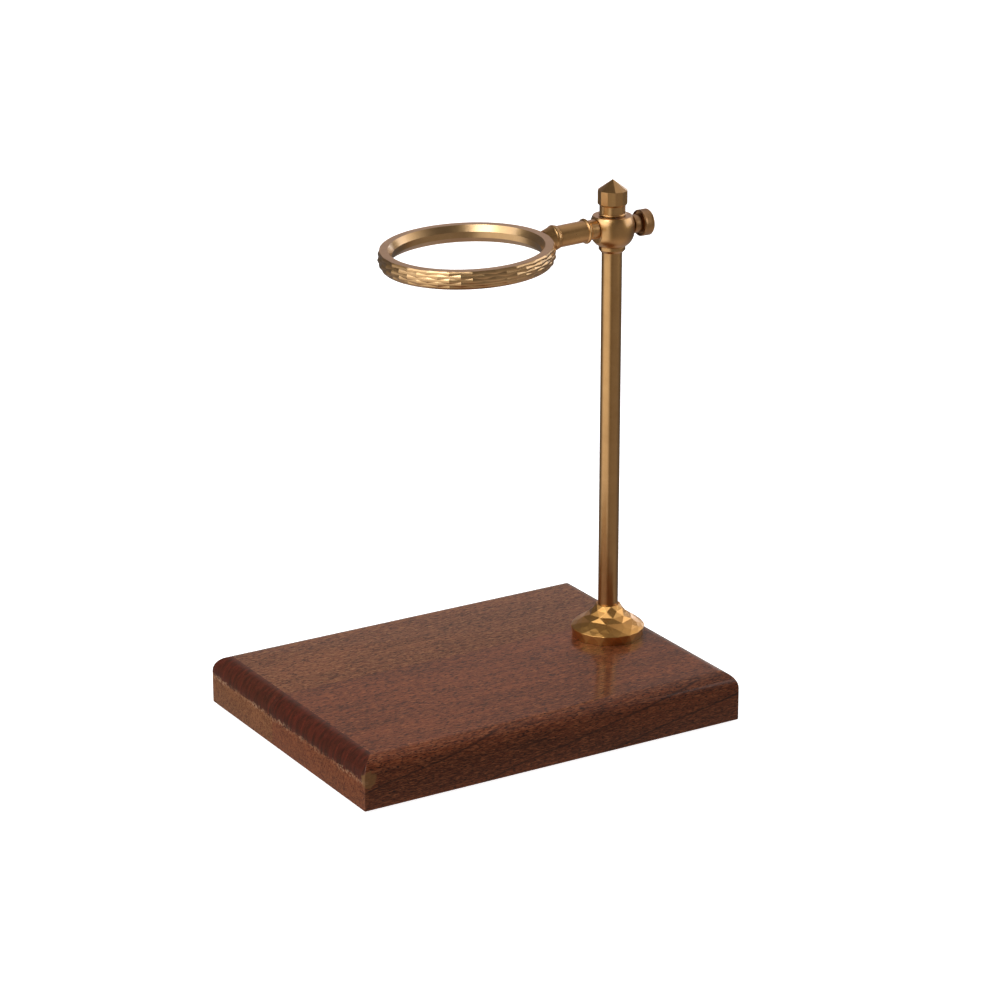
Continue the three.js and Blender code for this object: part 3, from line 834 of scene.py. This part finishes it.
def add_bush():
    bottom = BUSH["bottom"]
    collar_top = BALL["bottom"] - RUN_GAP
    bore = POST_RADIUS + RUN_GAP
    sleeve = rounded([(bore, bottom), (bore + RUN_GAP, bottom),
                      (BUSH["collar"], bottom + BUSH["chamfer"]), (BUSH["collar"], collar_top),
                      (BUSH["radius"], collar_top), (BUSH["radius"], BALL["top"]),
                      (bore, BALL["top"])], FINE_EDGE)
    slit = bmesh.new()
    bmesh.ops.create_cube(slit, size=1)
    bmesh.ops.scale(slit, vec=(BUSH["collar"], BUSH["slit"], FAR), verts=slit.verts)
    slit = moved(slit, Matrix.Translation((-(BUSH["collar"] + POST_RADIUS) / 2, 0, 0)))
    bush = cut(turned(sleeve), slit)
    make_piece("bush", bush, SATIN, "carriage", ON_HUB, ["hub_bush"])


def add_ball():
    inner = BUSH["radius"] + RUN_GAP
    low, high = BALL["bottom"], BALL["top"]
    heights = [low + (high - low) * i / BALL_STEPS for i in range(BALL_STEPS + 1)]
    outside = [(ball_radius(z), z) for z in heights]
    ball = turned(rounded([(inner, low), *outside, (inner, high)]))
    spot = moved(rod(FAR, BALL["spotface"], FAR), ALONG_ARM)
    stud_hole = moved(rod(STUD_HOLE, BALL["stud_hole"], FAR), ALONG_ARM)
    screw_hole = moved(rod(STUD_HOLE, 0, FAR), ALONG_SCREW)
    ball = cut(ball, spot, stud_hole, screw_hole)
    make_piece("ball", ball, SATIN, "ring_arm", ON_HUB, ["hub_ball"])


# Arm and ring ---------------------------------------------------------------------------

def add_arm():
    a = ARM
    profile = rounded([(0, a["start"]), (a["neck"], a["start"]), (a["neck"], a["neck_end"]),
                       *bead(a["bar"], ARM_BEAD["radius"], ARM_BEAD["middle"], ARM_BEAD["half"]),
                       (a["bar"], a["joint"]), (0, a["joint"])], FINE_EDGE)
    arm = cut(turned(profile), rod(STUD_HOLE, 0, ARM_HOLES["near_end"]),
              rod(STUD_HOLE, ARM_HOLES["far_start"], FAR))
    make_piece("arm_bar", arm, SATIN, "ring_arm", ON_HUB @ ALONG_ARM, ["arm_rod"])


def add_socket():
    start = ARM["joint"] + GAP
    end = RING_REACH - RING_RADIUS + SOCKET["overrun"]
    profile = rounded([(0, start), (SOCKET["lip"], start),
                       *bead(SOCKET["lip"], SOCKET_BEAD["radius"], SOCKET_BEAD["middle"],
                             SOCKET_BEAD["half"]),
                       (SOCKET["tip"], RING_REACH - RING_RADIUS), (SOCKET["tip"], end), (0, end)],
                      FINE_EDGE)
    ring_place = Matrix.Translation((0, 0, RING_REACH)) @ Matrix.Rotation(math.pi / 2, 4, "Y")
    ring_space = moved(rod(RING_RADIUS + GAP, -FAR, FAR, 2 * FINE), ring_place)
    socket = cut(turned(profile), ring_space, rod(STUD_HOLE, 0, SOCKET["hole_end"]),
                 rod(RING_STUD["hole"], SOCKET["hole_end"] - OVERCUT, FAR))
    make_piece("socket", socket, SATIN, "ring_arm", ON_HUB @ ALONG_ARM,
               ["ring_socket"])


def row_section(row, degrees):
    """Outer section of one row of cells at an angle, as (a, b) of radius = a + b z - bow z^2:
    an arch between the row's edges that grows towards the ends of a cell."""
    (low, low_radius), (high, high_radius) = RING_BARREL[row], RING_BARREL[row + 1]
    cell = 360 / CELL["count"]
    place = (degrees + cell / 2 * (row + 1)) % cell
    offset = math.radians(min(place, cell - place))
    slope = (high_radius - low_radius) / (high - low)
    middle = (low + high) / 2
    growth = CELL["hollow"] * RING_RADIUS * offset ** 2 / 2
    crest = (low_radius + high_radius) / 2 + CELL["rise"] + growth
    return crest - slope * middle - RING_BOW * middle ** 2, slope + 2 * RING_BOW * middle


def ring_outside(degrees):
    """Outer section of the ring at an angle: five rows of arches that meet in grooves."""
    rows = [row_section(row, degrees) for row in range(len(RING_BARREL) - 1)]
    edges = [(below[0] - above[0]) / (above[1] - below[1]) for below, above in zip(rows, rows[1:])]
    edges = [-RING_HALF, *edges, RING_HALF]
    points = []
    for (base, slope), low, high in zip(rows, edges, edges[1:]):
        for step in range(CELL["steps"] + (high == RING_HALF)):
            z = low + (high - low) * step / CELL["steps"]
            points.append((base + slope * z - RING_BOW * z ** 2, z))
    return points


def chamfered(radius, z):
    """The radius, held in by the chamfers of the ring's upper and lower edge."""
    upper = RING_EDGES["top"] + RING_HALF - z
    lower = RING_EDGES["bottom"] + RING_EDGES["bottom_slope"] * (z + RING_HALF)
    return min(radius, upper, lower)


def ring_shape():
    """The ring as closed loops of sections, its outside cut into rows of staggered cells."""
    count = CELL["count"] * CELL["columns"]
    vertices = []
    for i in range(count):
        degrees = 360 * i / count
        section = [(RING_EDGES["bottom"], -RING_HALF), *ring_outside(degrees),
                   (RING_EDGES["top"], RING_HALF)]
        section = [(chamfered(r, z), z) for r, z in section]
        section += reversed(RING_BORE)
        angle = math.radians(degrees + RING_TURN)
        vertices += [(r * math.cos(angle), r * math.sin(angle), z) for r, z in section]
    size = len(vertices) // count
    faces = []
    for i in range(count):
        here, there = i * size, (i + 1) % count * size
        for j in range(size):
            k = (j + 1) % size
            faces.append((here + j, there + j, there + k, here + k))
    return solid(vertices, faces)


def add_ring():
    hole = rod(RING_STUD["hole"], RING_RADIUS - RING_STUD["depth"], FAR)
    hole = moved(hole, Matrix.Rotation(math.pi / 2, 4, "Y"))
    place = ON_HUB @ ARM_ROOT @ Matrix.Translation((-RING_REACH, 0, 0))
    ring = cut(ring_shape(), hole)
    make_piece("ring", ring, CUT, "ring_arm", place, ["support_ring"], sharp=9)


# Clamp screw ----------------------------------------------------------------------------

def knurled(radius, start, end):
    """Rim loops of a cross-cut knurl, a quarter of a tooth further at each row."""
    teeth, rows = KNURL["teeth"], KNURL["rows"]
    count = KNURL["points"] * teeth
    loops = []
    for row in range(rows + 1):
        z = start + (end - start) * row / rows
        fade = min(1, 4 * min(row, rows - row) / rows)
        slant = math.pi / 2 * row
        loop = []
        for i in range(count):
            turn = 2 * math.pi * i / count
            wave = max(math.cos(teeth * turn + slant), math.cos(teeth * turn - slant))
            r = radius - KNURL["depth"] * fade * (0.5 + 0.5 * wave)
            loop.append((r * math.cos(turn), r * math.sin(turn), z))
        loops.append(loop)
    return loops


def knob_shape():
    count = KNURL["points"] * KNURL["teeth"]
    near = [polygon(count, radius, z) for radius, z in KNOB_NEAR]
    knurl = knurled(KNOB["rim"], KNOB["knurl_start"], KNOB["knurl_end"])
    end = [polygon(count, radius, z) for radius, z in KNOB_END]
    return lofted(near + knurl + end)


def add_clamp():
    knob = cut(knob_shape(), rod(STUD_HOLE, 0, KNOB["stud_hole"]))
    make_piece("knob", knob, DARKER_KNOB_BRASS, "clamp_knob", ON_HUB @ ALONG_SCREW,
               ["knob_head"])


# Stage ----------------------------------------------------------------------------------

def direction_to(azimuth, elevation):
    a, e = math.radians(azimuth), math.radians(elevation)
    return Vector((math.cos(a) * math.cos(e), math.sin(a) * math.cos(e), math.sin(e)))


def add_camera():
    yaw, pitch = math.radians(CAMERA_YAW), math.radians(CAMERA_PITCH)
    forward = Vector((math.sin(yaw) * math.cos(pitch), math.cos(yaw) * math.cos(pitch),
                      -math.sin(pitch)))
    right = Vector((math.cos(yaw), -math.sin(yaw), 0))
    up = right.cross(forward)
    across, rise, ahead = CAMERA_OFFSET
    location = right * across + up * rise + forward * ahead + Vector((0, 0, CAMERA_LIFT))
    data = bpy.data.cameras.new("camera")
    data.sensor_width = CAMERA_SENSOR
    data.lens = CAMERA_LENS
    data.clip_start = 0.05
    data.clip_end = 50
    camera = bpy.data.objects.new("camera", data)
    bpy.context.scene.collection.objects.link(camera)
    turn = Matrix((right, up, -forward)).transposed().to_4x4()
    camera.matrix_world = Matrix.Translation(location * MM) @ turn
    bpy.context.scene.camera = camera


def add_light(name, azimuth, elevation, distance, width, height, radiance, glossy, matt):
    """A soft panel that faces the middle of the stand, azimuth from +X in degrees."""
    out = direction_to(azimuth, elevation)
    data = bpy.data.lights.new(name, "AREA")
    data.shape = "RECTANGLE"
    data.size = width
    data.size_y = height
    data.energy = radiance * math.pi * width * height
    light = bpy.data.objects.new(name, data)
    bpy.context.scene.collection.objects.link(light)
    light.visible_glossy = glossy
    light.visible_diffuse = matt
    light.location = Vector(LIGHT_TARGET) + out * distance
    light.rotation_mode = "QUATERNION"
    light.rotation_quaternion = out.to_track_quat("Z", "Y")


def add_backdrop(name, mesh):
    """A pale surface that only the camera sees."""
    shader = Shader(name)
    shader.set(Base_Color=(0.6, 0.6, 0.6, 1), Roughness=0.9, Emission_Color=(1, 1, 1, 1),
               Emission_Strength=0.95)
    mesh.materials.append(shader.material)
    backdrop = bpy.data.objects.new(name, mesh)
    bpy.context.scene.collection.objects.link(backdrop)
    backdrop.visible_glossy = False
    backdrop.visible_diffuse = False
    backdrop.visible_shadow = False


def add_floor():
    half = STAGE_RADIUS
    floor = bpy.data.meshes.new("floor")
    floor.from_pydata([(-half, -half, 0), (half, -half, 0), (half, half, 0), (-half, half, 0)],
                      [], [(0, 1, 2, 3)])
    add_backdrop("floor", floor)


def add_dome():
    """A round block over the floor, hollowed to a half sphere that starts just below it."""
    inner, outer = STAGE_RADIUS, STAGE_RADIUS + DOME_SINK
    levels = [math.radians(90 * step / DOME_STEPS) for step in range(DOME_STEPS)]
    arc = [(inner * math.cos(a), inner * math.sin(a) - DOME_SINK) for a in levels]
    shape = turned([*arc, (0, inner - DOME_SINK), (0, inner), (outer, inner),
                    (outer, -DOME_SINK)])
    dome = bpy.data.meshes.new("dome")
    shape.to_mesh(dome)
    shape.free()
    add_backdrop("dome", dome)


def add_world():
    """A dim surround with broad soft patches, each by direction and colour."""
    world = bpy.data.worlds.new("world")
    world.use_nodes = True
    tree = world.node_tree
    direction = tree.nodes.new("ShaderNodeTexCoord").outputs["Generated"]
    total = None
    for azimuth, elevation, inner, outer, colour in SURROUND:
        dot = tree.nodes.new("ShaderNodeVectorMath")
        dot.operation = "DOT_PRODUCT"
        tree.links.new(direction, dot.inputs[0])
        dot.inputs[1].default_value = direction_to(azimuth, elevation)
        fade = tree.nodes.new("ShaderNodeMapRange")
        fade.interpolation_type = "SMOOTHSTEP"
        fade.inputs["From Min"].default_value = math.cos(math.radians(outer))
        fade.inputs["From Max"].default_value = math.cos(math.radians(inner))
        tree.links.new(dot.outputs["Value"], fade.inputs["Value"])
        scaled = tree.nodes.new("ShaderNodeVectorMath")
        scaled.operation = "SCALE"
        scaled.inputs[0].default_value = colour
        tree.links.new(fade.outputs["Result"], scaled.inputs["Scale"])
        if total is None:
            total = scaled.outputs["Vector"]
            continue
        added = tree.nodes.new("ShaderNodeVectorMath")
        added.operation = "ADD"
        tree.links.new(total, added.inputs[0])
        tree.links.new(scaled.outputs["Vector"], added.inputs[1])
        total = added.outputs["Vector"]
    tree.links.new(total, tree.nodes["Background"].inputs["Color"])
    bpy.context.scene.world = world


def paint_carried_nodes():
    """Looks of the CAD nodes that stay: studs and the thrust pad."""
    for name, material in (("finial_stud", STEEL), ("arm_stud", STEEL), ("joint_stud", STEEL),
                           ("ring_stud", STEEL), ("clamp_stud", STEEL), ("thrust_pad", NYLON)):
        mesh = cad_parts[name].data
        mesh.materials.clear()
        mesh.materials.append(material)


add_base()
add_screw()
add_post()
add_finial()
add_bush()
add_ball()
add_arm()
add_socket()
add_ring()
add_clamp()
paint_carried_nodes()

add_camera()
add_floor()
add_dome()
for panel in PANELS:
    add_light(*panel)
add_world()
bpy.context.scene.view_settings.view_transform = "Standard"
